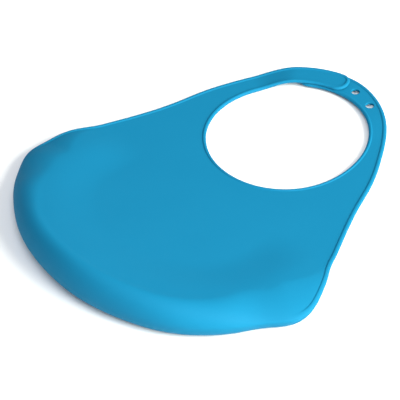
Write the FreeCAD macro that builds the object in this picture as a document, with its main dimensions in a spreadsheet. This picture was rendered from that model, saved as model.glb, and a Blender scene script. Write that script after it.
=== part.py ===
import FreeCAD, Part

import math
import os

import Sketcher
from FreeCAD import Placement, Rotation, Vector

# A one-piece moulded silicone bib with a catch pocket, lying on its pocket with the baby side up.
# +X runs across, +Y towards the neck, +Z up; the origin is the middle of its footprint, z = 0 the table.
# The moulding is split where its thickness or its flexing changes: panel, beads, pocket, two straps, pegs.

doc = FreeCAD.newDocument("SiliconeBib")

# ---------------------------------------------------------------- driving dimensions, millimetres
sheet = doc.addObject("Spreadsheet::Sheet", "Dimensions")

DIMENSIONS = [
    ("wall", 2.0, "moulded wall"),
    ("bead_width", 3.0, "raised bead along the outer edge"),
    ("neck_bead_width", 2.5, "raised bead along the neck opening"),
    ("bead_rise", 0.6, "how far a bead stands above the sheet"),
    ("rest_height", 3.0, "baby side of the sheet above the table beside the neck"),
    ("panel_rise", 29.0, "how much higher the panel is at the pocket's end"),
    ("curl_start", 56.0, "y where the panel begins to rise"),
    ("neck_centre", 64.0, "y of the neck opening's centre"),
    ("neck_half_width", 52.0, "neck opening, half width"),
    ("neck_chest_length", 55.5, "neck opening, half length on the chest side"),
    ("neck_nape_length", 58.8, "neck opening, half length on the nape side"),
    ("neck_skew", 2.3, "lean of the opening's nape half towards the hole strap"),
    ("mouth_corner", -27.0, "y where the pocket leaves the panel's edge"),
    ("mouth_blend", 43.0, "length over which the pocket's side reaches full depth"),
    ("pocket_middle", -45.0, "y of the point that the pocket's wall is drawn towards"),
    ("hip_round", 24.5, "width of the rounding at the pocket's widest place"),
    ("end_round", 13.5, "width of the rounding at the pocket's end"),
    ("upper_share", 0.55, "share of the wall's height above its widest line"),
    ("under_ratio", 0.96, "under rounding's width over its height"),
    ("mouth_sag", 16.0, "how far the mouth's edge arches towards the neck"),
    ("rim_radius", 1.8, "half thickness of the pocket's mouth rim"),
    ("flex_gap", 0.3, "clearance between bodies that flex apart"),
    ("seam", 0.03, "hairline between nodes of the one moulding, so that curved faces don't overlap"),
    ("root_angle", 30.0, "ray from the neck's centre where each strap starts, degrees"),
    ("peg_strap_end", 89.0, "ray through the peg strap's tip, degrees"),
    ("hole_strap_end", 120.0, "ray through the hole strap's tip, degrees"),
    ("peg_strap_raise", 3.7, "how far the peg strap climbs to pass over the hole strap"),
    ("peg_strap_climb", 28.0, "angle from its root within which it climbs, degrees"),
    ("hole_strap_raise", 1.0, "how far the hole strap climbs over the peg heads"),
    ("hole_strap_climb", 30.0, "angle from its root within which it climbs, degrees"),
    ("strap_tip_radius", 9.0, "rounding of the peg strap's tip"),
    ("hole_radius", 2.5, "holes in the hole strap"),
    ("hole_pitch", 14.7, "angle between neighbouring holes, degrees"),
    ("first_hole", 68.6, "ray through the first hole, degrees"),
    ("hole_count", 4, "holes in the hole strap"),
    ("peg_neck_radius", 1.9, "closure peg, neck"),
    ("peg_head_radius", 2.3, "closure peg, head"),
    ("peg_head_height", 1.7, "closure peg, head"),
    ("peg_head_bevel", 0.7, "closure peg, lead-in of the head"),
    ("peg_rooted", 0.4, "how far a peg's neck runs up into its strap"),
]

for row, (alias, value, note) in enumerate(DIMENSIONS, start=1):
    sheet.set(f"A{row}", alias)
    sheet.set(f"B{row}", str(value))
    sheet.set(f"C{row}", note)
    sheet.setAlias(f"B{row}", alias)
doc.recompute()


def size(alias):
    """A driving dimension, read from the sheet."""
    return float(sheet.get(alias))


# Right half of the plan outline, from the nape's middle to the middle of the pocket's end.
HALF_OUTLINE = [
    (0, 142), (40.5, 123.3), (62, 90.5), (73.5, 64), (80.5, 40), (88.5, 17), (99.5, -10),
    (112, -39), (115.5, -64), (104.5, -83), (89, -103), (65.5, -124), (34, -137.2), (0, -142),
]

WALL = size("wall")
NAPE_Y = HALF_OUTLINE[0][1]
END_Y = HALF_OUTLINE[-1][1]
NECK_Y = size("neck_centre")
BEAD = size("bead_width")
NECK_BEAD = size("neck_bead_width")
GAP = size("flex_gap")
SEAM = size("seam")


# ---------------------------------------------------------------- the bib's shape
def smooth(value):
    """0 below 0, 1 above 1 and an S-curve between."""
    value = max(0.0, min(1.0, value))
    return value * value * (3 - 2 * value)


def outline_curve():
    """The closed plan outline, clockwise from the nape."""
    right = [Vector(x, y, 0) for x, y in HALF_OUTLINE]
    left = [Vector(-x, y, 0) for x, y in HALF_OUTLINE[-2:0:-1]]
    curve = Part.BSplineCurve()
    curve.interpolate(Points=right + left, PeriodicFlag=True)
    return curve


OUTLINE = outline_curve()


def edge_frame(way):
    """Outline point and inward direction; way runs 0 at the nape, 1 at the end, 2 back at the nape."""
    first, last = OUTLINE.FirstParameter, OUTLINE.LastParameter
    parameter = first + (last - first) * (way % 2.0) / 2.0
    point = OUTLINE.value(parameter)
    tangent = OUTLINE.tangent(parameter)[0]
    return point, Vector(tangent.y, -tangent.x, 0)


def ray_angle(point):
    """Angle of a point about the neck's centre, 0 along +X, in degrees."""
    return math.degrees(math.atan2(point.y - NECK_Y, point.x))


def way_where(reached, low, high):
    """The way between low and high where reached(way) turns true."""
    for _ in range(40):
        middle = (low + high) / 2
        low, high = (low, middle) if reached(middle) else (middle, high)
    return high


def way_at_angle(angle):
    """Where the ray at that angle, 0 to 180 degrees, meets the neck half of the outline."""
    if angle <= 90:
        return way_where(lambda way: ray_angle(edge_frame(way)[0]) <= angle, 0.0, 0.6)
    return 2 - way_at_angle(180 - angle)


def panel_height(y):
    """Height of the baby side: level beside the neck, then rising towards the pocket's end."""
    run = max(0.0, (size("curl_start") - y) / (size("curl_start") - END_Y))
    return size("rest_height") + size("panel_rise") * run * run


def neck_radius(angle):
    """Neck opening's radius at an angle about its centre, in degrees."""
    turn = math.radians(angle)
    across = math.cos(turn) / size("neck_half_width")
    along = math.sin(turn) / size("neck_nape_length" if math.sin(turn) > 0 else "neck_chest_length")
    lean = size("neck_skew") * math.sin(2 * turn) * (1 + math.sin(turn)) / 2
    return 1 / math.hypot(across, along) + lean


def neck_point(angle, outwards):
    """Point on the neck opening's edge, moved outwards from it along its ray."""
    turn = math.radians(angle)
    radius = neck_radius(angle) + outwards
    return Vector(radius * math.cos(turn), NECK_Y + radius * math.sin(turn), 0)


def pocket_share(way):
    """0 along the neck's flanks, 1 where the pocket has its full depth."""
    y = edge_frame(way)[0].y
    return smooth((size("mouth_corner") - y) / size("mouth_blend"))


def pocket_inward(way):
    """Inward direction for the pocket: square to the edge at its corners, then towards its middle."""
    point, inward = edge_frame(way)
    to_middle = Vector(-point.x, size("pocket_middle") - point.y, 0).normalize()
    mixed = inward * (1 - pocket_share(way)) + to_middle * pocket_share(way)
    return mixed.normalize()


def rounding(way):
    """The edge's cross-section: width and height above and below its widest line."""
    point = edge_frame(way)[0]
    share = pocket_share(way)
    full_y = size("mouth_corner") - size("mouth_blend")
    to_end = smooth((full_y - point.y) / (full_y - END_Y))
    full_width = size("hip_round") + (size("end_round") - size("hip_round")) * to_end
    height = panel_height(point.y)
    half_bead = (WALL + 2 * size("bead_rise")) / 2
    above = half_bead + (size("upper_share") * height - half_bead) * share
    below = half_bead + ((1 - size("upper_share")) * height - half_bead) * share
    width = BEAD + (full_width - BEAD) * share
    under = half_bead + (size("under_ratio") * (1 - size("upper_share")) * height - half_bead) * share
    return width, above, under, below


# Steps down the pocket's side, in the rounding above its widest line and in the one below it.
UPPER_STEPS = 8
LOWER_STEPS = 7
THINNEST_SHARE = 0.45  # the wall is at most this share of a rounding, where the bead fades into it


def wall_depth(way, skin):
    """How far a skin lies below the outer surface; skin 0 is the outside, 1 the inside."""
    return skin * min(WALL, THINNEST_SHARE * min(rounding(way)))


def brow_profile(way, skin):
    """Points from the panel's edge over the ridge, down to the widest line."""
    point = edge_frame(way)[0]
    width, above = rounding(way)[:2]
    depth = wall_depth(way, skin)
    leaning = panel_height(point.y) - panel_height((point + pocket_inward(way) * depth).y)
    points = []
    for step in range(UPPER_STEPS + 1):
        turn = math.radians(90 * step / UPPER_STEPS)
        place = point + pocket_inward(way) * (depth + (width - depth) * (1 - math.sin(turn)))
        drop = depth + (above - depth - leaning) * (1 - math.cos(turn))
        points.append(Vector(place.x, place.y, panel_height(place.y) - drop))
    return points


def side_profile(way, skin):
    """Points from just under the widest line, down and under to where the front wall starts."""
    point = edge_frame(way)[0]
    above, under, below = rounding(way)[1:]
    depth = wall_depth(way, skin)
    widest = panel_height(point.y) - above
    fall = below - depth - GAP
    points = []
    for step in range(LOWER_STEPS + 1):
        turn = math.radians(90 * step / LOWER_STEPS)
        place = point + pocket_inward(way) * (depth + (under - depth) * (1 - math.cos(turn)))
        points.append(Vector(place.x, place.y, widest - GAP - fall * math.sin(turn)))
    return points


# ---------------------------------------------------------------- solids between two skins
SAME_SENSE = 1


def skin_face(rows):
    """A smooth face through rows of points."""
    surface = Part.BSplineSurface()
    surface.interpolate(rows)
    return surface.toShape()


def between_skins(outer_rows, inner_rows):
    """The closed solid between an outer and an inner skin with matching rows of points."""
    outer = skin_face(outer_rows)
    inner = skin_face(inner_rows)
    sides = [Part.makeRuledSurface(a, b, SAME_SENSE) for a, b in zip(outer.Edges, inner.Edges)]
    shell = Part.makeShell([outer, inner] + sides)
    shell.sewShape()
    solid = Part.makeSolid(Part.makeShell(shell.Faces))
    if solid.Volume < 0:
        solid.reverse()
    return solid


def spread(first, last, count):
    """Evenly spaced numbers from first to last."""
    return [first + (last - first) * step / (count - 1) for step in range(count)]


def lifted(point, height):
    return Vector(point.x, point.y, height)


def band(ways, near, far, height, thickness, columns):
    """A sheet between near(way) and far(way) in plan, its top at height(point, way)."""
    top, bottom = [], []
    for way in ways:
        start, finish = near(way), far(way)
        places = [start + (finish - start) * share for share in spread(0, 1, columns)]
        heights = [height(place, way) for place in places]
        top.append([lifted(place, z) for place, z in zip(places, heights)])
        bottom.append([lifted(place, z - thickness) for place, z in zip(places, heights)])
    return between_skins(top, bottom)


def at_neck(outwards):
    return lambda way: neck_point(ray_angle(edge_frame(way)[0]), outwards)


def at_edge(inset):
    return lambda way: edge_frame(way)[0] + edge_frame(way)[1] * inset


def at_panel_edge(way):
    return edge_frame(way)[0] + pocket_inward(way) * (rounding(way)[0] + SEAM)


def on_panel(extra):
    return lambda place, way: panel_height(place.y) + extra


# ---------------------------------------------------------------- panel, beads and the pocket's side
ROOT_RIGHT = way_at_angle(size("root_angle"))
ROOT_LEFT = 2 - ROOT_RIGHT
CORNER = way_where(lambda way: edge_frame(way)[0].y <= size("mouth_corner"), 0.3, 0.95)
FULL = way_where(lambda way: pocket_share(way) >= 0.999, 0.3, 0.95)
BEAD_DEPTH = WALL + 1.5 * size("bead_rise")

# Rows of points across each skin, and columns along each row.
FLANK_ROWS = 21
WALL_ROWS = 57
PANEL_COLUMNS = 9
STRAP_COLUMNS = 5
BEAD_COLUMNS = 3

right_ways = spread(ROOT_RIGHT, CORNER, FLANK_ROWS)
wall_ways = spread(CORNER, 2 - CORNER, WALL_ROWS)
left_ways = spread(2 - CORNER, ROOT_LEFT, FLANK_ROWS)
body_ways = right_ways[:-1] + wall_ways + left_ways[1:]
bead_top = on_panel(size("bead_rise"))

shapes = {}
shapes["bib_panel"] = band(
    body_ways, at_neck(NECK_BEAD + SEAM), at_panel_edge, on_panel(0), WALL, PANEL_COLUMNS
)
shapes["neck_bead"] = band(body_ways, at_neck(0), at_neck(NECK_BEAD), bead_top, BEAD_DEPTH, BEAD_COLUMNS)
for name, ways in (("flank_bead_right", right_ways), ("flank_bead_left", left_ways)):
    shapes[name] = band(ways, at_edge(BEAD), at_edge(0), bead_top, BEAD_DEPTH, BEAD_COLUMNS)
for name, profile in (("pocket_brow", brow_profile), ("pocket_side", side_profile)):
    shapes[name] = between_skins(
        [profile(way, 0) for way in wall_ways], [profile(way, 1) for way in wall_ways]
    )


# ---------------------------------------------------------------- the two neck straps
def climb(angle_from_root, full_angle, raise_height):
    """A strap's extra height, growing from its root."""
    return raise_height * smooth(angle_from_root / full_angle)


def peg_strap_top(place, way):
    from_root = 180 - size("root_angle") - ray_angle(edge_frame(way)[0])
    return panel_height(place.y) + climb(from_root, size("peg_strap_climb"), size("peg_strap_raise"))


def hole_strap_top(place, way):
    from_root = ray_angle(edge_frame(way)[0]) - size("root_angle")
    return panel_height(place.y) + climb(from_root, size("hole_strap_climb"), size("hole_strap_raise"))


def raised(height, extra):
    return lambda place, way: height(place, way) + extra


def strap_parts(ways, height, bead_depth):
    """A strap's sheet and the beads on its neck edge and its outer edge."""
    top = raised(height, size("bead_rise"))
    return (
        band(ways, at_neck(NECK_BEAD + SEAM), at_edge(BEAD + SEAM), height, WALL, STRAP_COLUMNS),
        band(ways, at_neck(0), at_neck(NECK_BEAD), top, bead_depth, BEAD_COLUMNS),
        band(ways, at_edge(BEAD), at_edge(0), top, bead_depth, BEAD_COLUMNS),
    )


def band_middle(angle):
    """Middle of the neck band on a ray."""
    inner = neck_point(angle, 0)
    outer = edge_frame(way_at_angle(angle))[0]
    return (inner + outer) * 0.5


def sector(from_angle, to_angle):
    """A tall wedge about the neck's centre, to trim a strap."""
    reach = 2 * NAPE_Y
    corners = [Vector(0, NECK_Y, -reach)]
    for angle in (from_angle, to_angle):
        turn = math.radians(angle)
        corners.append(Vector(reach * math.cos(turn), NECK_Y + reach * math.sin(turn), -reach))
    return Part.Face(Part.makePolygon(corners + corners[:1])).extrude(Vector(0, 0, 2 * reach))


def upright_cylinder(radius, place):
    """A cylinder through both straps, to cut or keep what is round in plan."""
    return Part.makeCylinder(radius, 2 * CUT_REACH, lifted(place, -CUT_REACH))


CUT_REACH = 40
GAP_ANGLE = math.degrees(GAP / neck_radius(size("root_angle")))
STRAP_SKIN = WALL + size("bead_rise")
PEG_STRAP_ROWS = 29
HOLE_STRAP_ROWS = (13, 9)  # before and past the nape's middle

peg_root = way_at_angle(180 - size("root_angle") - GAP_ANGLE)
peg_ways = spread(peg_root, way_at_angle(size("peg_strap_end")) + 2, PEG_STRAP_ROWS)
peg_sheet, peg_inner_bead, peg_outer_bead = strap_parts(peg_ways, peg_strap_top, STRAP_SKIN)

# The peg strap's tip is round: the band beyond the tip's centre is kept only inside a disc.
TRIM_MARGIN = 8  # degrees past the strap's end
band_half = (band_middle(90) - neck_point(90, 0)).Length
nape_middle = band_middle(90).y - NECK_Y
tip_angle = size("peg_strap_end") + math.degrees(size("strap_tip_radius") / nape_middle)
tip_centre = band_middle(tip_angle)
tip_disc = upright_cylinder(band_half, tip_centre)
tip_inside = upright_cylinder(band_half - BEAD, tip_centre)
beyond_tip = sector(size("peg_strap_end") - TRIM_MARGIN, tip_angle)
tip_trim = beyond_tip.cut(tip_disc)
tip_ring = beyond_tip.common(tip_disc.cut(tip_inside))
tip_bottom = peg_strap_top(tip_centre, way_at_angle(tip_angle)) + size("bead_rise") - STRAP_SKIN
tip_slab = Part.makeBox(2 * CUT_REACH, 2 * CUT_REACH, STRAP_SKIN, Vector(-CUT_REACH, NECK_Y, tip_bottom))
tip_bead = tip_ring.common(tip_slab)

shapes["peg_strap"] = peg_sheet.cut(tip_trim).cut(tip_ring)
shapes["peg_strap_bead"] = (
    peg_inner_bead.fuse(peg_outer_bead).cut(tip_trim).fuse(tip_bead).removeSplitter()
)

hole_root = way_at_angle(size("root_angle") + GAP_ANGLE)
hole_ways = spread(hole_root, 0.0, HOLE_STRAP_ROWS[0])[:-1]
hole_ways += spread(0.0, way_at_angle(size("hole_strap_end")) - 2, HOLE_STRAP_ROWS[1])
hole_sheet, hole_inner_bead, hole_outer_bead = strap_parts(hole_ways, hole_strap_top, BEAD_DEPTH)
shapes["hole_strap_sheet"] = hole_sheet
shapes["hole_strap_bead"] = Part.makeCompound([hole_inner_bead, hole_outer_bead])

for name, shape in shapes.items():
    feature = doc.addObject("Part::Feature", name)
    feature.Label = name
    feature.Shape = shape
    feature.Placement = Placement()

# The holes are cut through the hole strap's sheet.
holes = []
for index in range(int(size("hole_count"))):
    hole = doc.addObject("Part::Cylinder", f"strap_hole_{index + 1}")
    hole.setExpression("Radius", "Dimensions.hole_radius")
    hole.Height = CUT_REACH
    middle = band_middle(size("first_hole") + index * size("hole_pitch"))
    hole.Placement = Placement(lifted(middle, -CUT_REACH / 2), Rotation())
    holes.append(hole)
all_holes = doc.addObject("Part::Compound", "strap_holes")
all_holes.Links = holes
hole_strap = doc.addObject("Part::Cut", "hole_strap")
hole_strap.Base = doc.getObject("hole_strap_sheet")
hole_strap.Tool = all_holes


# ---------------------------------------------------------------- sketched pieces
def new_body(name):
    body = doc.addObject("PartDesign::Body", name + "_body")
    body.Label = name
    return body


def sketch_on(body, role, name):
    """A sketch on one of the body's own origin planes."""
    sketch = body.newObject("Sketcher::SketchObject", name)
    plane = next(item for item in body.Origin.OriginFeatures if item.Role == role)
    sketch.AttachmentSupport = (plane, [""])
    sketch.MapMode = "FlatFace"
    return sketch


def derived(row, alias, value):
    """A worked-out value, kept in the sheet so that features can be bound to it."""
    sheet.set(f"A{row}", alias)
    sheet.set(f"B{row}", str(value))
    sheet.setAlias(f"B{row}", alias)


# The pocket's front wall lies on the table, inside the rounding of the pocket's side.
front_edge = []
for way in spread(FULL, 2 - FULL, 25):
    front_edge.append(edge_frame(way)[0] + pocket_inward(way) * (rounding(way)[2] + SEAM))
front_corner = front_edge[0]
mouth_middle = Vector(0, front_corner.y + size("mouth_sag"), 0)
mouth_radius = (front_corner.x**2 + size("mouth_sag") ** 2) / (2 * size("mouth_sag"))

front_body = new_body("pocket_front")
front_sketch = sketch_on(front_body, "XY_Plane", "front_outline")
front_curve = Part.BSplineCurve()
front_curve.interpolate(front_edge)
front_sketch.addGeometry(front_curve)
front_sketch.addGeometry(Part.Arc(front_edge[-1], mouth_middle, front_edge[0]))
front_pad = front_body.newObject("PartDesign::Pad", "front_wall")
front_pad.Profile = front_sketch
front_pad.setExpression("Length", "Dimensions.wall")
front_body.Tip = front_pad

# The pocket's rim is a round bead along the arched edge of the mouth.
next_row = len(DIMENSIONS) + 2
rim_turn = 2 * math.degrees(math.asin((front_corner.x - 3 * size("rim_radius")) / mouth_radius))
derived(next_row, "rim_turn", rim_turn)
derived(next_row + 1, "mouth_radius", mouth_radius)
derived(next_row + 2, "mouth_middle", mouth_middle.y)
doc.recompute()


def along_mouth(body, feature_type, name):
    """The rim's round section swept along the mouth, added to a body or cut out of it."""
    sketch = sketch_on(body, "YZ_Plane", name + "_section")
    centre = Vector(mouth_middle.y, size("rim_radius"), 0)
    axis_foot = Vector(mouth_middle.y - mouth_radius, 0, 0)
    sketch.addGeometry(Part.Circle(centre, Vector(0, 0, 1), size("rim_radius")))
    sketch.addGeometry(Part.LineSegment(axis_foot, axis_foot + Vector(0, WALL, 0)), True)
    sketch.addConstraint(Sketcher.Constraint("Radius", 0, size("rim_radius")))
    sketch.setExpression("Constraints[0]", "Dimensions.rim_radius")
    sweep = body.newObject(feature_type, name)
    sweep.Profile = sketch
    sweep.ReferenceAxis = (sketch, ["Axis0"])
    sweep.Midplane = True
    sweep.setExpression("Angle", "Dimensions.rim_turn")
    body.Tip = sweep


full_front_volume = front_pad.Shape.Volume
along_mouth(front_body, "PartDesign::Groove", "rim_seat")
rim_body = new_body("pocket_rim")
along_mouth(rim_body, "PartDesign::Revolution", "rim")

# Two mushroom pegs hang from the peg strap and pass through the hole strap's last two holes.
HEAD_CLEARANCE = 0.25
PEG_TOP = size("rest_height") + size("peg_strap_raise") - WALL + size("peg_rooted")
HEAD_TOP = size("rest_height") + size("hole_strap_raise") - WALL - HEAD_CLEARANCE


def closure_peg(name, place):
    """A turned peg: a neck, and a bevelled head below it."""
    body = new_body(name)
    sketch = sketch_on(body, "XZ_Plane", name + "_section")
    neck, head = size("peg_neck_radius"), size("peg_head_radius")
    bevel = size("peg_head_bevel")
    foot = HEAD_TOP - size("peg_head_height")
    corners = [
        Vector(0, PEG_TOP, 0),
        Vector(neck, PEG_TOP, 0),
        Vector(neck, HEAD_TOP, 0),
        Vector(head, HEAD_TOP, 0),
        Vector(head, foot + bevel, 0),
        Vector(head - bevel, foot, 0),
        Vector(0, foot, 0),
    ]
    for start, finish in zip(corners, corners[1:] + corners[:1]):
        sketch.addGeometry(Part.LineSegment(start, finish))
    count = len(corners)
    for index in range(count):
        sketch.addConstraint(Sketcher.Constraint("Coincident", index, 2, (index + 1) % count, 1))
    neck_width = sketch.addConstraint(Sketcher.Constraint("DistanceX", 0, 1, 0, 2, neck))
    head_width = sketch.addConstraint(Sketcher.Constraint("DistanceX", -1, 1, 3, 1, head))
    sketch.setExpression(f"Constraints[{neck_width}]", "Dimensions.peg_neck_radius")
    sketch.setExpression(f"Constraints[{head_width}]", "Dimensions.peg_head_radius")
    revolution = body.newObject("PartDesign::Revolution", name + "_turned")
    revolution.Profile = sketch
    revolution.ReferenceAxis = (sketch, ["V_Axis"])
    revolution.Angle = 360
    body.Tip = revolution
    body.Placement = Placement(place, Rotation())
    return body


last_hole = size("first_hole") + (size("hole_count") - 1) * size("hole_pitch")
closure_peg("closure_peg_outer", band_middle(last_hole - size("hole_pitch")))
closure_peg("closure_peg_inner", band_middle(last_hole))

doc.recompute()

# ---------------------------------------------------------------- checks and files
for item in doc.Objects:
    if "Invalid" in item.State or "Error" in item.State:
        raise RuntimeError(f"{item.Name} failed to build: {item.State}")

if front_body.Shape.Volume >= full_front_volume:
    raise RuntimeError("the rim's seat was not cut")

os.makedirs("parts", exist_ok=True)
bodies = [item for item in doc.Objects if item.TypeId == "PartDesign::Body"]
sheets = [doc.getObject(name) for name in shapes if name != "hole_strap_sheet"]
nodes = sheets + [hole_strap] + bodies
for item in nodes:
    if item.Shape.isNull() or not item.Shape.isValid():
        raise RuntimeError(f"{item.Label} has no valid shape")
for item in nodes:
    item.Shape.exportStep(f"parts/{item.Label}.step")
    box = item.Shape.BoundBox
    print(f"{item.Label:18s} {item.Shape.Volume:9.1f} mm3  solids {len(item.Shape.Solids)}"
          f"  x {box.XMin:7.1f} {box.XMax:7.1f}  y {box.YMin:7.1f} {box.YMax:7.1f}"
          f"  z {box.ZMin:6.2f} {box.ZMax:6.2f}")
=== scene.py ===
import math

import bmesh
import bpy
import numpy as np
from mathutils import Matrix, Vector


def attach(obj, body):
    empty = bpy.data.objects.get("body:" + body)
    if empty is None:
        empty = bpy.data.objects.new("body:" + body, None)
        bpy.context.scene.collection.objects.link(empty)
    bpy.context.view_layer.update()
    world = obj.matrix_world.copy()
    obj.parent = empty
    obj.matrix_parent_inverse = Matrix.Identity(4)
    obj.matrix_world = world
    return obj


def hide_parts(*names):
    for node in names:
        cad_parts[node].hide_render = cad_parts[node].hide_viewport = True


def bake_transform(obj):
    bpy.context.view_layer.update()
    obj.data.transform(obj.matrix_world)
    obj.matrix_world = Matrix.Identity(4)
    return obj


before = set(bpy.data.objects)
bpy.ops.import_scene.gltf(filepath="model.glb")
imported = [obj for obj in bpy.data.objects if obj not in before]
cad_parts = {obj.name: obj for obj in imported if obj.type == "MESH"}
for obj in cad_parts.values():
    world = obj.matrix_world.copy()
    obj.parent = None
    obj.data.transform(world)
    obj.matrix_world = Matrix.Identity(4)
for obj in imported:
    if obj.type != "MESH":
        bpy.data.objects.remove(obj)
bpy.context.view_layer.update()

# A one-piece silicone bib with a catch pocket, lying on its pocket, baby side up.
# Lengths below are in millimetres in the CAD frame; MM turns them into Blender's metres.
MM = 0.001

# ---------------------------------------------------------------- dimensions shared with the CAD model
# The right half of the plan outline, from the nape's middle to the middle of the pocket's end.
HALF_OUTLINE = [
    (0, 142), (40.5, 123.3), (62, 90.5), (73.5, 64), (80.5, 40), (88.5, 17), (99.5, -10),
    (112, -39), (115.5, -64), (104.5, -83), (89, -103), (65.5, -124), (34, -137.2), (0, -142),
]
END_Y = HALF_OUTLINE[-1][1]
WALL = 2.0
REST_HEIGHT = 3.0
PANEL_RISE = 29.0
CURL_START = 56.0
NECK_Y = 64.0
NECK_HALF_WIDTH = 52.0
NECK_CHEST_LENGTH = 55.5
NECK_NAPE_LENGTH = 58.8
NECK_SKEW = 2.3
MOUTH_CORNER_Y = -27.0
MOUTH_BLEND = 43.0
POCKET_MIDDLE_Y = -45.0
HIP_ROUND = 24.5
END_ROUND = 13.5
UPPER_SHARE = 0.55
UNDER_RATIO = 0.96
ROOT_ANGLE = 30.0
BEAD = 3.0
NECK_BEAD = 2.5
BEAD_RISE = 0.6
PEG_STRAP_RAISE = 3.7
PEG_STRAP_CLIMB = 28.0
PEG_STRAP_END = 89.0
TIP_RADIUS = 9.0
HOLE_STRAP_RAISE = 1.0
HOLE_STRAP_CLIMB = 30.0
HOLE_STRAP_END = 120.0
FIRST_HOLE = 68.6
HOLE_PITCH = 14.7
HOLE_COUNT = 4
RIM_RADIUS = 1.8

# ---------------------------------------------------------------- dimensions of the looks alone
BEAD_ABOVE = 0.7       # from the sheet's top down to a bead's widest line
BEAD_STAND = 0.3       # how far a bead stands out of the sheet's underside
FADE_START_Y = -52.0   # where the bead on the pocket's side starts to die away
FADE_END_Y = -70.0
HIP_HUMP = 2.2         # the panel's swelling just inside the ridge, at the hips
END_HUMP = 1.1         # and at the pocket's end
RIDGE_HALF_WIDTH = 91.0
RIDGE_LENGTH = 81.5    # from the pocket's middle to the ridge at its end
HUMP_FROM = 0.6        # share of the way from the pocket's middle to the ridge where the swelling starts
HUMP_START_Y = -8.0
HUMP_BLEND = 34.0
HIP_POWER = 1.35       # 2 is an elliptical rounding, less makes the ridge crisper
END_POWER = 1.85
HIP_START_Y = -15.0    # where the edge starts to round over into the hip
HIP_BLEND = 40.0
NOTCH_Y = -17.0        # where each flank dips in before the hip
NOTCH_DEPTH = 0.9
NOTCH_LENGTH = 9.0
RIGHT_DENT_Y = -84.0   # the soft pocket lies unevenly: it dips in here, and on the left in and out
RIGHT_DENT_DEPTH = 1.5
RIGHT_DENT_LENGTH = 11.0
LEFT_DENT_Y = -54.0
LEFT_DENT_DEPTH = 1.2
LEFT_DENT_LENGTH = 12.0
LEFT_BULGE_Y = -93.0
LEFT_BULGE_DEPTH = 2.4
LEFT_BULGE_LENGTH = 19.0
MOUTH_MIDDLE_Y = -54.0
MOUTH_POWER = 2.5      # how late the mouth's edge climbs towards its corners
OPENING_LENGTH = 0.1   # share of the mouth over which the pocket's walls come apart
MOUTH_LEVEL = 0.7      # share of the way to a corner over which the mouth's rim stays low
FRONT_POWER = 1.5      # how late the outside of the front wall climbs to the rim
RIM_FROM, RIM_TO = -90, 172  # degrees round the rim's section
TIP_POWER = 2.2        # above 2 squares a strap tip's corners
PEG_TIP_BLUNT = 0.92   # the peg strap's tip reaches this share of a half circle
NARROWING_ANGLE = 60   # degrees from its root over which the peg strap narrows
PEG_STRAP_NARROWING = 2.0  # so that its outer edge stays within the hole strap's
HOLE_RADIUS = 2.8
HOLE_RIM = 0.45        # rounding of a hole's rims
PEG_HEAD_RADIUS = 3.1
PEG_HEAD_RIM = 0.35    # thickness of a head at its rim
PEG_HEAD_EDGE = (0.08, 0.12)  # in from a head's radius and down from its top, where its bevel starts
PEG_HEAD_BEVEL = 0.3
PEG_HEAD_GAP = 0.15    # from a head up to the hole strap
PEG_NECK_RADIUS = 1.9
PEG_NECK_FILLET = 0.2
PEG_FLARE = 0.5        # how far a neck widens as it meets its strap
PEG_FLARE_START = 0.9  # from the neck's end down to where it starts to widen
PEG_ROOTED = 0.4       # how far a neck runs up into its strap
PEG_BASE = 0.1         # a head's lowest point


def smooth(value):
    """0 below 0, 1 above 1 and an S-curve between."""
    value = max(0.0, min(1.0, value))
    return value * value * (3 - 2 * value)


def spread(first, last, count):
    """Evenly spaced values, with both ends among them."""
    return [first + (last - first) * step / (count - 1) for step in range(count)]


def between(start, finish, share):
    return start + (finish - start) * share


# ---------------------------------------------------------------- the outline
# A place on the outline is a way: 0 at the nape, 1 at the pocket's end and 2 back at the nape.
BISECTIONS = 40
NECK_WAYS = (0.0, 0.6)     # ways between which rays of 90 to 0 degrees meet the outline
CORNER_WAYS = (0.3, 0.95)  # ways between which the mouth's corner lies


class ClosedSpline:
    """A smooth closed curve through points, with chord length as its parameter."""

    def __init__(self, points):
        self.points = np.array(points, float)
        following = np.roll(self.points, -1, axis=0)
        self.chords = np.linalg.norm(following - self.points, axis=1)
        self.knots = np.concatenate([[0], np.cumsum(self.chords)])
        count = len(points)
        system = np.zeros((count, count))
        for i in range(count):
            before, after = self.chords[i - 1], self.chords[i]
            system[i, i - 1] += before
            system[i, i] += 2 * (before + after)
            system[i, (i + 1) % count] += after
        slopes = (following - self.points) / self.chords[:, None]
        self.bends = np.linalg.solve(system, 6 * (slopes - np.roll(slopes, 1, axis=0)))

    def at(self, way):
        """Point and unit tangent; way runs 0 at the nape, 1 at the pocket's end, 2 back at the nape."""
        along = (way % 2.0) / 2.0 * self.knots[-1]
        i = min(int(np.searchsorted(self.knots, along, side="right")) - 1, len(self.chords) - 1)
        j = (i + 1) % len(self.points)
        length = self.chords[i]
        b = (along - self.knots[i]) / length
        a = 1 - b
        near, far = self.bends[i] * length * length / 6, self.bends[j] * length * length / 6
        point = a * self.points[i] + b * self.points[j] + (a**3 - a) * near + (b**3 - b) * far
        slope = self.points[j] - self.points[i] + (1 - 3 * a * a) * near + (3 * b * b - 1) * far
        return point, slope / np.linalg.norm(slope)


OUTLINE = ClosedSpline(HALF_OUTLINE + [(-x, y) for x, y in HALF_OUTLINE[-2:0:-1]])


def edge_frame(way):
    """Outline point and inward direction."""
    point, tangent = OUTLINE.at(way)
    return point, np.array([tangent[1], -tangent[0]])


def ray_angle(point):
    """Angle of a point about the neck's centre, 0 along +X, in degrees."""
    return math.degrees(math.atan2(point[1] - NECK_Y, point[0]))


def way_where(reached, low, high):
    """The first way between low and high that has reached what is asked."""
    for _ in range(BISECTIONS):
        middle = (low + high) / 2
        low, high = (low, middle) if reached(middle) else (middle, high)
    return high


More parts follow.
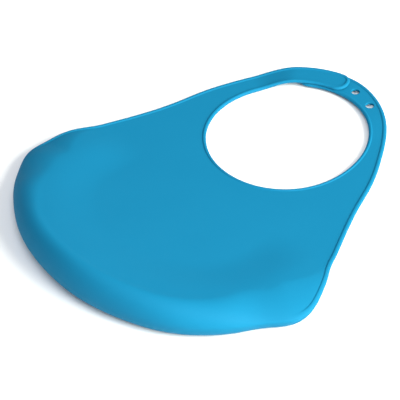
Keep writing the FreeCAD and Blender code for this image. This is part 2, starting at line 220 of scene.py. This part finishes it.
def way_at_angle(angle):
    """Where a ray at 0 to 180 degrees meets the neck half of the outline."""
    if angle <= 90:
        return way_where(lambda way: ray_angle(edge_frame(way)[0]) <= angle, *NECK_WAYS)
    return 2 - way_at_angle(180 - angle)


def neck_point(angle, outwards):
    """Point on the neck opening's edge, moved outwards from it along its ray."""
    turn = math.radians(angle)
    across = math.cos(turn) / NECK_HALF_WIDTH
    along = math.sin(turn) / (NECK_NAPE_LENGTH if math.sin(turn) > 0 else NECK_CHEST_LENGTH)
    lean = NECK_SKEW * math.sin(2 * turn) * (1 + math.sin(turn)) / 2
    radius = 1 / math.hypot(across, along) + lean + outwards
    return np.array([radius * math.cos(turn), NECK_Y + radius * math.sin(turn)])


def panel_height(y):
    """The panel's top: level beside the neck, and rising in a curve towards the pocket's end."""
    run = max(0.0, (CURL_START - y) / (CURL_START - END_Y))
    return REST_HEIGHT + PANEL_RISE * run * run


def hump(place):
    """The panel's swelling towards the pocket's ridge."""
    end_share = max(0.0, POCKET_MIDDLE_Y - place[1]) / RIDGE_LENGTH
    reach = math.hypot(place[0] / RIDGE_HALF_WIDTH, end_share)
    height = between(HIP_HUMP, END_HUMP, smooth(end_share))
    upper_fade = smooth((HUMP_START_Y - place[1]) / HUMP_BLEND)
    return height * smooth((reach - HUMP_FROM) / (1 - HUMP_FROM)) * upper_fade


ROOT_RIGHT = way_at_angle(ROOT_ANGLE)
ROOT_LEFT = 2 - ROOT_RIGHT
CORNER = way_where(lambda way: edge_frame(way)[0][1] <= MOUTH_CORNER_Y, *CORNER_WAYS)


def bell(y, middle, length):
    return math.exp(-(((y - middle) / length) ** 2))


def photographed_inset(x, y):
    """How far the dents of the bib in the photograph draw its edge in; its left side also bulges."""
    inset = NOTCH_DEPTH * bell(y, NOTCH_Y, NOTCH_LENGTH)
    if x > 0:
        return inset + RIGHT_DENT_DEPTH * bell(y, RIGHT_DENT_Y, RIGHT_DENT_LENGTH)
    inset += LEFT_DENT_DEPTH * bell(y, LEFT_DENT_Y, LEFT_DENT_LENGTH)
    return inset - LEFT_BULGE_DEPTH * bell(y, LEFT_BULGE_Y, LEFT_BULGE_LENGTH)


class Edge:
    """The edge's cross-section at one way: widths and heights above and below its widest line."""

    def __init__(self, way, stand=BEAD_STAND, inset=0.0):
        self.point, square = edge_frame(way)
        y = self.point[1]
        self.point = self.point + square * (inset + photographed_inset(*self.point))
        self.share = smooth((MOUTH_CORNER_Y - y) / MOUTH_BLEND)
        to_middle = np.array([-self.point[0], POCKET_MIDDLE_Y - y])
        mixed = between(square, to_middle / np.linalg.norm(to_middle), self.share)
        self.inward = mixed / np.linalg.norm(mixed)
        full_y = MOUTH_CORNER_Y - MOUTH_BLEND
        to_end = smooth((full_y - y) / (full_y - END_Y))
        full_width = between(HIP_ROUND, END_ROUND, to_end)
        height = panel_height(y)
        upper, lower = UPPER_SHARE * height, (1 - UPPER_SHARE) * height
        rounding = smooth((HIP_START_Y - y) / HIP_BLEND)
        self.width = between(BEAD, full_width, rounding)
        self.above = between(BEAD_ABOVE, upper, rounding)
        self.below = between(WALL + stand - BEAD_ABOVE, lower, self.share)
        self.under = between(BEAD / 2, UNDER_RATIO * lower, self.share)
        self.widest = height - self.above
        self.power = between(2.0, between(HIP_POWER, END_POWER, smooth(2 * to_end)), rounding)
        self.bead = smooth((y - FADE_END_Y) / (FADE_START_Y - FADE_END_Y))

    def place(self, inset):
        return self.point + self.inward * inset

    def fall(self, inset):
        """How far the rounding has dropped below the panel's own surface at an inset from the outline."""
        reach = max(0.0, 1 - inset / self.width)
        drop = self.above * (1 - max(0.0, 1 - reach**self.power) ** (1 / self.power))
        lean = panel_height(self.point[1]) - panel_height(self.place(inset)[1])
        return drop - lean * reach

    def top(self, place, inset):
        """Height of the sheet's top at a place an inset away from the outline."""
        return panel_height(place[1]) + hump(place) - self.fall(inset)

    def inside(self, share, depth):
        """Point on the pocket's inner skin: 0 where the front wall starts, 1 where the panel does."""
        if share < 0.5:
            turn = math.pi / 2 * (1 - 2 * share)
            place = self.place(depth + (self.under - depth) * (1 - math.cos(turn)))
            return (*place, self.widest - (self.below - depth) * math.sin(turn))
        turn = math.pi * (1 - share)
        place = self.place(depth + (self.width - depth) * (1 - math.sin(turn)))
        lean = panel_height(self.point[1]) - panel_height(self.place(depth)[1])
        drop = depth + (self.above - depth - lean) * (1 - math.cos(turn))
        return (*place, panel_height(place[1]) + hump(place) * smooth(2 * share - 1) - drop)


# ---------------------------------------------------------------- cross-sections, as rows of points
BEAD_STEPS = 16
SHEET_STEPS = 56
UNDER_STEPS = 10
INNER_STEPS = 24
FRONT_STEPS = 30
RIM_STEPS = 14
SHEET_CROWDING = 1.5   # how much closer the sheet's columns stand towards the outer edge
CREST_FROM, CREST_TO = 0.4, 0.62


def bead_lift(share):
    """A bead's height at a share of its width: rounded outside, nearly flat on top, crisp at its crease."""
    if share < CREST_FROM:
        return BEAD_RISE * math.sin(math.pi / 2 * share / CREST_FROM)
    if share < CREST_TO:
        return BEAD_RISE
    return BEAD_RISE * (1 - ((share - CREST_TO) / (1 - CREST_TO)) ** 2)


class Band:
    """The recipe for the rows of one moulding: its extra height, and how its beads stand out below."""

    def __init__(self, raise_at=lambda way: 0.0, stand_at=lambda way: BEAD_STAND,
                 crowding_at=lambda way: SHEET_CROWDING, inset_at=lambda way: 0.0):
        self.raise_at = raise_at
        self.stand_at = stand_at
        self.crowding_at = crowding_at
        self.inset_at = inset_at

    def outer_row(self, way):
        """From the neck's innermost line over the top to the edge's widest line, and under to its bottom."""
        edge = Edge(way, self.stand_at(way), self.inset_at(way))
        angle = ray_angle(edge.point)
        lift = self.raise_at(way)
        row = []
        for step in range(BEAD_STEPS):
            turn = math.pi / 2 * step / BEAD_STEPS
            share = 1 - math.cos(turn)
            place = neck_point(angle, NECK_BEAD * share)
            drop = BEAD_ABOVE * (1 - math.sin(turn))
            row.append((*place, panel_height(place[1]) + lift - drop + bead_lift(share)))

        neck, ridge = neck_point(angle, NECK_BEAD), edge.place(edge.width)
        flat = np.linalg.norm(ridge - neck)
        total = flat + edge.width - BEAD
        crowding = self.crowding_at(way)
        for step in range(SHEET_STEPS + 1):
            along = total * (1 - (1 - step / SHEET_STEPS) ** crowding)
            inset = edge.width + flat - along
            place = between(neck, ridge, along / flat) if along < flat else edge.place(inset)
            row.append((*place, edge.top(place, inset) + lift))

        crease_turn = math.asin((1 - BEAD / edge.width) ** (edge.power / 2))
        for step in range(1, BEAD_STEPS + 1):
            turn = between(crease_turn, math.pi / 2, step / BEAD_STEPS)
            inset = edge.width * (1 - math.sin(turn) ** (2 / edge.power))
            place = edge.place(inset)
            row.append((*place, edge.top(place, inset) + lift + edge.bead * bead_lift(inset / BEAD)))

        base = edge.widest + lift
        for step in range(1, UNDER_STEPS + 1):
            turn = math.pi / 2 * step / UNDER_STEPS
            place = edge.place(edge.under * (1 - math.cos(turn)))
            swelling = hump(edge.point) * math.cos(turn) ** 2
            row.append((*place, base + swelling - edge.below * math.sin(turn)))
        return row

    def inner_row(self, way, opened=0.0):
        """From the edge's bottom up the pocket's inside, along the underside and back to the neck."""
        stand = self.stand_at(way)
        edge = Edge(way, stand, self.inset_at(way))
        angle = ray_angle(edge.point)
        lift = self.raise_at(way)
        limit = between(BEAD, edge.width, opened)
        row = []
        for step in range(INNER_STEPS + 1):
            share = step / INNER_STEPS
            place = edge.place(BEAD * (1 + share) / 2)
            low, high = edge.widest - edge.below, edge.top(edge.place(BEAD), BEAD) - WALL
            closed = np.array((*place, lift + between(low, high, smooth(share))))
            hollow = np.array(edge.inside(share, opened * WALL))
            row.append(tuple(between(closed, hollow + (0, 0, lift), opened)))

        outer, neck = edge.place(limit), neck_point(angle, NECK_BEAD)
        for step in range(1, SHEET_STEPS + 1):
            place = between(outer, neck, step / SHEET_STEPS)
            inset = limit + np.linalg.norm(place - outer)
            row.append((*place, edge.top(place, inset) + lift - WALL))

        for step in range(1, INNER_STEPS + 1):
            share = step / INNER_STEPS
            place = neck_point(angle, NECK_BEAD * (1 - share / 2))
            row.append((*place, panel_height(place[1]) + lift - WALL - stand * smooth(share)))
        for step in range(1, UNDER_STEPS + 1):
            turn = math.pi / 2 * (1 - step / UNDER_STEPS)
            place = neck_point(angle, NECK_BEAD * (1 - math.cos(turn)) / 2)
            depth = BEAD_ABOVE + (WALL + stand - BEAD_ABOVE) * math.sin(turn)
            row.append((*place, panel_height(place[1]) + lift - depth))
        return row


# ---------------------------------------------------------------- meshes from rows of points
WELD = 2e-6            # metres
SHARP_ANGLE = math.radians(40)


def add_grid(mesh, rows):
    """Quads between rows of points, given in millimetres."""
    made = [[mesh.verts.new([c * MM for c in point]) for point in row] for row in rows]
    for row, following in zip(made, made[1:]):
        for a, b, c, d in zip(row, row[1:], following[1:], following):
            mesh.faces.new((a, b, c, d))


def add_cap(mesh, outer, inner):
    """The flat end of a moulding: once round its section."""
    loop = list(outer) + list(inner[1:-1])
    mesh.faces.new([mesh.verts.new([c * MM for c in point]) for point in loop])


def shade(data):
    """Smooth shading, with real corners kept sharp."""
    mesh = bmesh.new()
    mesh.from_mesh(data)
    for face in mesh.faces:
        face.smooth = True
    for edge in mesh.edges:
        edge.smooth = edge.calc_face_angle(0.0) < SHARP_ANGLE
    mesh.to_mesh(data)
    mesh.free()


def finish_mesh(name, mesh):
    """Welds the grids into one closed surface and makes the object."""
    bmesh.ops.remove_doubles(mesh, verts=mesh.verts, dist=WELD)
    bmesh.ops.dissolve_degenerate(mesh, edges=mesh.edges, dist=WELD)
    bmesh.ops.recalc_face_normals(mesh, faces=mesh.faces)
    data = bpy.data.meshes.new(name)
    mesh.to_mesh(data)
    mesh.free()
    shade(data)
    piece = bpy.data.objects.new(name, data)
    bpy.context.scene.collection.objects.link(piece)
    return piece


# ---------------------------------------------------------------- the bib with its pocket
FLANK_ROWS = 70
POCKET_ROWS = 240
TANGENT_STEP = 1e-3


def mouth_share(way):
    """0 at the mouth's right corner, 1 at its left one."""
    return (way - CORNER) / (2 - 2 * CORNER)


def opened_at(way):
    """0 on the flanks, growing to 1 where the pocket's walls stand fully apart."""
    share = mouth_share(way)
    return smooth(min(share, 1 - share) / OPENING_LENGTH)


def mouth_centre(share, corner):
    """Plan of the rim's middle line: a dip between the mouth's corners."""
    x = corner[0] * math.cos(math.pi * share)
    dip = abs(x / corner[0]) ** MOUTH_POWER
    return np.array([x, between(MOUTH_MIDDLE_Y, corner[1], dip)])


def front_row(way, outer_end, inner_start, corner):
    """From the side's bottom along the outside of the front wall, round the rim and back inside."""
    share = mouth_share(way)
    middle = mouth_centre(share, corner)
    before, after = max(0.0, share - TANGENT_STEP), min(1.0, share + TANGENT_STEP)
    ahead = mouth_centre(after, corner) - mouth_centre(before, corner)
    outward = np.array([ahead[1], -ahead[0]]) / np.linalg.norm(ahead)
    radius = RIM_RADIUS * opened_at(way)
    rise = smooth((abs(middle[0]) / corner[0] - MOUTH_LEVEL) / (1 - MOUTH_LEVEL))
    height = between(RIM_RADIUS, corner[2], rise)
    start, finish = np.array(outer_end), np.array((*middle, height - radius))
    row = []
    for step in range(FRONT_STEPS):
        along = step / FRONT_STEPS
        place = between(start, finish, along)[:2]
        row.append((*place, between(start[2], finish[2], along**FRONT_POWER)))
    for step in range(RIM_STEPS + 1):
        turn = math.radians(between(RIM_FROM, RIM_TO, step / RIM_STEPS))
        row.append((*(middle + outward * radius * math.cos(turn)), height + radius * math.sin(turn)))
    start, finish = np.array(row[-1]), np.array(inner_start)
    row += [tuple(between(start, finish, step / FRONT_STEPS)) for step in range(1, FRONT_STEPS + 1)]
    return row


def make_bib():
    """The panel from one strap's root round to the other's, with the pocket's front wall under it."""
    band = Band()
    right = spread(ROOT_RIGHT, CORNER, FLANK_ROWS)
    pocket = spread(CORNER, 2 - CORNER, POCKET_ROWS)
    left = spread(2 - CORNER, ROOT_LEFT, FLANK_ROWS)
    flank_openings = [0.0] * (FLANK_ROWS - 1)
    openings = flank_openings + [opened_at(way) for way in pocket] + flank_openings
    ways = right[:-1] + pocket + left[1:]
    outer = [band.outer_row(way) for way in ways]
    inner = [band.inner_row(way, opened) for way, opened in zip(ways, openings)]
    pocket_rows = slice(FLANK_ROWS - 1, FLANK_ROWS - 1 + POCKET_ROWS)
    corner = band.outer_row(CORNER)[-1]
    front = [
        front_row(way, outer_row[-1], inner_row[0], corner)
        for way, outer_row, inner_row in zip(pocket, outer[pocket_rows], inner[pocket_rows])
    ]
    mesh = bmesh.new()
    add_grid(mesh, outer)
    add_grid(mesh, inner)
    add_grid(mesh, front)
    add_cap(mesh, outer[0], inner[0])
    add_cap(mesh, outer[-1], inner[-1])
    return finish_mesh("bib_moulding", mesh)


# ---------------------------------------------------------------- the straps
STRAP_ROWS = 80
TIP_STEPS = 48
CROWDING_FADE = 15     # degrees from a root over which the columns even out
HOLE_RIM_STEPS = 6
DOME_STEPS = 10
FLARE_STEPS = 6
CUTTER_OVERSHOOT = 1   # how far a hole's cutter reaches past the strap
HOLE_STRAP_TOP = REST_HEIGHT + HOLE_STRAP_RAISE


def band_middle(angle):
    """Middle of the strap's width on a ray."""
    return (neck_point(angle, 0) + edge_frame(way_at_angle(angle))[0]) / 2


def strap_band(turned, climb_angle, full_raise, flush=False, narrowing=0):
    """A strap that starts like the bib and climbs; turned(way) is its angle from the root.

    A flush strap loses its beads underneath, and narrowing draws its outer edge in.
    """
    def climbed(way):
        return smooth(turned(way) / climb_angle)

    return Band(
        raise_at=lambda way: full_raise * climbed(way),
        stand_at=lambda way: BEAD_STAND * (1 - climbed(way) if flush else 1),
        crowding_at=lambda way: between(SHEET_CROWDING, 1.0, smooth(turned(way) / CROWDING_FADE)),
        inset_at=lambda way: narrowing * smooth(turned(way) / NARROWING_ANGLE),
    )


def make_strap(name, band, ways, turn_sign, blunt):
    """A strap along ways, with a round tip past the last one."""
    outer = [band.outer_row(way) for way in ways]
    inner = [band.inner_row(way) for way in ways]
    mesh = bmesh.new()
    add_grid(mesh, outer)
    add_grid(mesh, inner)
    add_cap(mesh, outer[0], inner[0])

    # The tip turns the last row's outer half about the sheet's middle until it is the inner half,
    # and is flattened to a blunt end whose bead keeps its width.
    loop = [Vector(point) for point in outer[-1] + inner[-1][1:-1]]
    top_middle = BEAD_STEPS + SHEET_STEPS // 2
    half = len(loop) // 2
    far_half = [loop[top_middle + step] for step in range(half + 1)]
    near_half = [loop[top_middle - step] for step in range(half + 1)]
    middle = Vector((*loop[top_middle].xy, 0))
    back = Matrix.Rotation(-turn_sign * math.pi, 3, "Z")
    radius = max((point - middle).xy.length for point in far_half)
    rows = []
    for step in range(TIP_STEPS + 1):
        angle = math.pi * step / TIP_STEPS
        turned = Matrix.Rotation(turn_sign * angle, 3, "Z")
        across, ahead = abs(math.cos(angle)), math.sin(angle) / blunt
        reach = radius / (across**TIP_POWER + ahead**TIP_POWER) ** (1 / TIP_POWER)
        row = []
        for far, near in zip(far_half, near_half):
            spoke = (far - middle).lerp(back @ (near - middle), step / TIP_STEPS)
            out = spoke.xy.length
            sheet = radius - BEAD
            kept = out * (reach - BEAD) / sheet if out < sheet else out + reach - radius
            spoke.xy *= kept / out if out > 0 else 1
            row.append(middle + turned @ spoke)
        rows.append(row)
    add_grid(mesh, rows)
    return finish_mesh(name, mesh)


def tip_centre_angle(end_angle, tip_radius):
    """The ray through the centre of a round tip that reaches end_angle."""
    tip_angle = math.degrees(tip_radius / (band_middle(90)[1] - NECK_Y))
    return end_angle + tip_angle if end_angle < 90 else end_angle - tip_angle


def make_peg_strap():
    """The strap on top, from the left root over the nape."""
    band = strap_band(
        lambda way: 180 - ROOT_ANGLE - ray_angle(edge_frame(way)[0]),
        PEG_STRAP_CLIMB, PEG_STRAP_RAISE, flush=True, narrowing=PEG_STRAP_NARROWING,
    )
    tip = way_at_angle(tip_centre_angle(PEG_STRAP_END, TIP_RADIUS * PEG_TIP_BLUNT))
    return make_strap("peg_strap_moulding", band, spread(ROOT_LEFT, tip, STRAP_ROWS), -1, PEG_TIP_BLUNT)


def make_hole_strap():
    """The strap underneath, from the right root over the nape, with its holes."""
    band = strap_band(
        lambda way: ray_angle(edge_frame(way)[0]) - ROOT_ANGLE, HOLE_STRAP_CLIMB, HOLE_STRAP_RAISE,
    )
    tip = way_at_angle(tip_centre_angle(HOLE_STRAP_END, TIP_RADIUS)) - 2  # a way just before the nape's 0
    strap = make_strap("hole_strap_moulding", band, spread(ROOT_RIGHT, tip, STRAP_ROWS), 1, 1.0)
    cut_holes(strap, HOLE_STRAP_TOP, HOLE_STRAP_TOP - WALL)
    return strap


def lathe(name, profile, place, segments=64):
    """A turned piece: profile is (radius, height) pairs from its bottom to its top."""
    mesh = bmesh.new()
    rows = []
    for step in range(segments + 1):
        turn = 2 * math.pi * step / segments
        rows.append([
            (place[0] + radius * math.cos(turn), place[1] + radius * math.sin(turn), height)
            for radius, height in profile
        ])
    add_grid(mesh, rows)
    return finish_mesh(name, mesh)


def cut_holes(strap, top, bottom):
    """Round holes with softened rims through the flat part of a strap."""
    widest = HOLE_RADIUS + HOLE_RIM
    turns = [math.pi / 2 * step / HOLE_RIM_STEPS for step in range(HOLE_RIM_STEPS + 1)]
    profile = [(0, bottom - CUTTER_OVERSHOOT), (widest, bottom - CUTTER_OVERSHOOT)]
    for turn in turns:
        profile.append((widest - HOLE_RIM * math.sin(turn), bottom + HOLE_RIM * (1 - math.cos(turn))))
    for turn in turns:
        profile.append((widest - HOLE_RIM * math.cos(turn), top - HOLE_RIM * (1 - math.sin(turn))))
    profile += [(widest, top + CUTTER_OVERSHOOT), (0, top + CUTTER_OVERSHOOT)]
    for index in range(HOLE_COUNT):
        cutter = lathe("hole_cutter", profile, band_middle(FIRST_HOLE + index * HOLE_PITCH))
        modifier = strap.modifiers.new("hole", "BOOLEAN")
        modifier.operation = "DIFFERENCE"
        modifier.solver = "EXACT"
        modifier.object = cutter
        bpy.context.view_layer.update()
        cut = bpy.data.meshes.new_from_object(strap.evaluated_get(bpy.context.evaluated_depsgraph_get()))
        strap.modifiers.clear()
        strap.data = cut
        bpy.data.objects.remove(cutter)
    shade(strap.data)


def peg_profile(bottom, head_top, neck_top):
    """A mushroom peg: domed head, undercut, and a neck that flares into the strap."""
    profile = [(0.0, bottom)]
    dome = head_top - bottom - PEG_HEAD_RIM
    for step in range(1, DOME_STEPS + 1):
        turn = math.pi / 2 * step / DOME_STEPS
        profile.append((PEG_HEAD_RADIUS * math.sin(turn), bottom + dome * (1 - math.cos(turn))))
    profile += [
        (PEG_HEAD_RADIUS - PEG_HEAD_EDGE[0], head_top - PEG_HEAD_EDGE[1]),
        (PEG_HEAD_RADIUS - PEG_HEAD_BEVEL, head_top),
        (PEG_NECK_RADIUS + PEG_NECK_FILLET, head_top),
        (PEG_NECK_RADIUS, head_top + PEG_NECK_FILLET),
        (PEG_NECK_RADIUS, neck_top - PEG_FLARE_START),
    ]
    for step in range(1, FLARE_STEPS + 1):
        turn = math.pi / 2 * step / FLARE_STEPS
        radius = PEG_NECK_RADIUS + PEG_FLARE * (1 - math.cos(turn))
        profile.append((radius, neck_top - PEG_FLARE_START + PEG_FLARE * math.sin(turn)))
    profile.append((0.0, neck_top))
    return profile


def make_pegs():
    """The two pegs in the last two holes, under the peg strap."""
    head_top = HOLE_STRAP_TOP - WALL - PEG_HEAD_GAP
    neck_top = REST_HEIGHT + PEG_STRAP_RAISE - WALL + PEG_ROOTED
    made = []
    for name, index in (("closure_peg_outer", HOLE_COUNT - 2), ("closure_peg_inner", HOLE_COUNT - 1)):
        place = band_middle(FIRST_HOLE + index * HOLE_PITCH)
        peg = lathe(name + "_turned", peg_profile(PEG_BASE, head_top, neck_top), place)
        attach(peg, "peg_strap")
        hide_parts(name)
        made.append(peg)
    return made


# ---------------------------------------------------------------- materials
DEEPER_BLUE = (0.0050, 0.148, 0.279, 1)
PALER_BLUE = (0.0060, 0.158, 0.294, 1)
SILICONE_IOR = 1.41
SILICONE_ROUGHNESS = (0.56, 0.68)
# Noises, as features per metre and octaves of detail.
MOTTLE = (26, 3)
SHEEN = (180, 4)
GRAIN = (2600, 3)
SWELL = (110, 2)
FLOOR_COLOUR = (0.92, 0.92, 0.92, 1)


def silicone():
    """Satin matte moulded silicone, dyed through."""
    material = bpy.data.materials.new("silicone")
    material.use_nodes = True
    nodes, links = material.node_tree.nodes, material.node_tree.links
    shader = nodes["Principled BSDF"]
    place = nodes.new("ShaderNodeTexCoord")

    def noise(scale, detail):
        node = nodes.new("ShaderNodeTexNoise")
        node.inputs["Scale"].default_value = scale
        node.inputs["Detail"].default_value = detail
        links.new(place.outputs["Object"], node.inputs["Vector"])
        return node.outputs["Fac"]

    def ranged(value, low, high):
        node = nodes.new("ShaderNodeMapRange")
        node.inputs["To Min"].default_value = low
        node.inputs["To Max"].default_value = high
        links.new(value, node.inputs["Value"])
        return node.outputs["Result"]

    tint = nodes.new("ShaderNodeMix")
    tint.data_type = "RGBA"
    tint.inputs["A"].default_value = DEEPER_BLUE
    tint.inputs["B"].default_value = PALER_BLUE
    links.new(noise(*MOTTLE), tint.inputs["Factor"])
    links.new(tint.outputs["Result"], shader.inputs["Base Color"])
    links.new(ranged(noise(*SHEEN), *SILICONE_ROUGHNESS), shader.inputs["Roughness"])

    def bump(height, strength, distance):
        node = nodes.new("ShaderNodeBump")
        node.inputs["Strength"].default_value = strength
        node.inputs["Distance"].default_value = distance
        links.new(height, node.inputs["Height"])
        return node

    grain = bump(noise(*GRAIN), strength=0.35, distance=0.00004)
    swell = bump(noise(*SWELL), strength=0.25, distance=0.0001)
    links.new(grain.outputs["Normal"], swell.inputs["Normal"])
    links.new(swell.outputs["Normal"], shader.inputs["Normal"])
    shader.inputs["IOR"].default_value = SILICONE_IOR
    shader.inputs["Specular IOR Level"].default_value = 0.07
    return material


def floor_material():
    material = bpy.data.materials.new("pale_floor")
    material.use_nodes = True
    shader = material.node_tree.nodes["Principled BSDF"]
    shader.inputs["Base Color"].default_value = FLOOR_COLOUR
    shader.inputs["Roughness"].default_value = 0.9
    shader.inputs["Specular IOR Level"].default_value = 0.1
    return material


# ---------------------------------------------------------------- camera, floor and light
# Places here are in metres.
VIEW_AZIMUTH = math.radians(41.04)
VIEW_ELEVATION = math.radians(43.26)
VIEW_DISTANCE = 1.095
VIEW_AIM = Vector((-0.0114, -0.0112, -0.0105))
LENS = 148.7           # of a sensor 36 mm wide
SENSOR_WIDTH = 36
FLOOR_GAP = -0.0002    # the bib's flat face and the floor never share one plane
FLOOR_REACH = 6
WORLD_COLOUR = (0.92, 0.96, 1.01, 1)
WORLD_STRENGTH = 0.37


def aim(thing, target):
    thing.rotation_euler = (target - thing.location).to_track_quat("-Z", "Y").to_euler()


def direction(azimuth, elevation):
    """Unit vector towards a place; azimuth 0 is towards -Y, where the camera of azimuth 0 stands."""
    return Vector((
        math.sin(azimuth) * math.cos(elevation),
        -math.cos(azimuth) * math.cos(elevation),
        math.sin(elevation),
    ))


def make_camera():
    data = bpy.data.cameras.new("camera")
    data.lens = LENS
    data.sensor_width = SENSOR_WIDTH
    data.clip_end = 20
    camera = bpy.data.objects.new("camera", data)
    camera.location = VIEW_AIM + direction(VIEW_AZIMUTH, VIEW_ELEVATION) * VIEW_DISTANCE
    aim(camera, VIEW_AIM)
    bpy.context.scene.collection.objects.link(camera)
    bpy.context.scene.camera = camera


def make_floor():
    mesh = bmesh.new()
    bmesh.ops.create_grid(mesh, x_segments=2, y_segments=2, size=FLOOR_REACH)
    data = bpy.data.meshes.new("floor")
    mesh.to_mesh(data)
    mesh.free()
    floor = bpy.data.objects.new("floor", data)
    floor.location.z = FLOOR_GAP
    floor.data.materials.append(floor_material())
    bpy.context.scene.collection.objects.link(floor)


def area_light(name, azimuth, elevation, distance, size, power, colour):
    """A round soft light that shines at the bib; azimuth as in direction(), both angles in degrees."""
    data = bpy.data.lights.new(name, "AREA")
    data.shape = "DISK"
    data.size = size
    data.energy = power
    data.color = colour
    light = bpy.data.objects.new(name, data)
    light.location = direction(math.radians(azimuth), math.radians(elevation)) * distance
    aim(light, Vector((0, 0, 0)))
    bpy.context.scene.collection.objects.link(light)


def make_light():
    world = bpy.data.worlds.new("studio")
    world.use_nodes = True
    background = world.node_tree.nodes["Background"]
    background.inputs["Color"].default_value = WORLD_COLOUR
    background.inputs["Strength"].default_value = WORLD_STRENGTH
    bpy.context.scene.world = world
    area_light("key", azimuth=100, elevation=27, distance=2.2, size=1.8, power=143, colour=(1, 0.99, 0.89))
    area_light("fill", azimuth=41, elevation=62, distance=2.2, size=1.4, power=28, colour=(0.95, 0.98, 1.03))
    bpy.context.scene.view_settings.view_transform = "Standard"


# ---------------------------------------------------------------- the pieces, on the frame
bib = make_bib()
peg_strap = make_peg_strap()
hole_strap = make_hole_strap()
pegs = make_pegs()

blue = silicone()
for piece in [bib, peg_strap, hole_strap] + pegs:
    piece.data.materials.clear()
    piece.data.materials.append(blue)

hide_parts("bib_panel", "neck_bead", "flank_bead_right", "flank_bead_left",
            "pocket_brow", "pocket_side", "pocket_front", "pocket_rim")
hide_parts("peg_strap", "peg_strap_bead")
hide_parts("hole_strap", "hole_strap_bead")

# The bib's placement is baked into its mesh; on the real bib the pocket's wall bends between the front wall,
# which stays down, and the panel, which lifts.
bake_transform(bib)

# Each strap's placement is baked into its mesh (the real strap bends just past its root); side is 1 for the
# right root and -1 for the left one.
for strap, body, side in ((peg_strap, "peg_strap", -1), (hole_strap, "hole_strap", 1)):
    root = Vector((*band_middle(90 - side * (90 - ROOT_ANGLE)), 0)) * MM
    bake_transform(strap)

make_camera()
make_floor()
make_light()
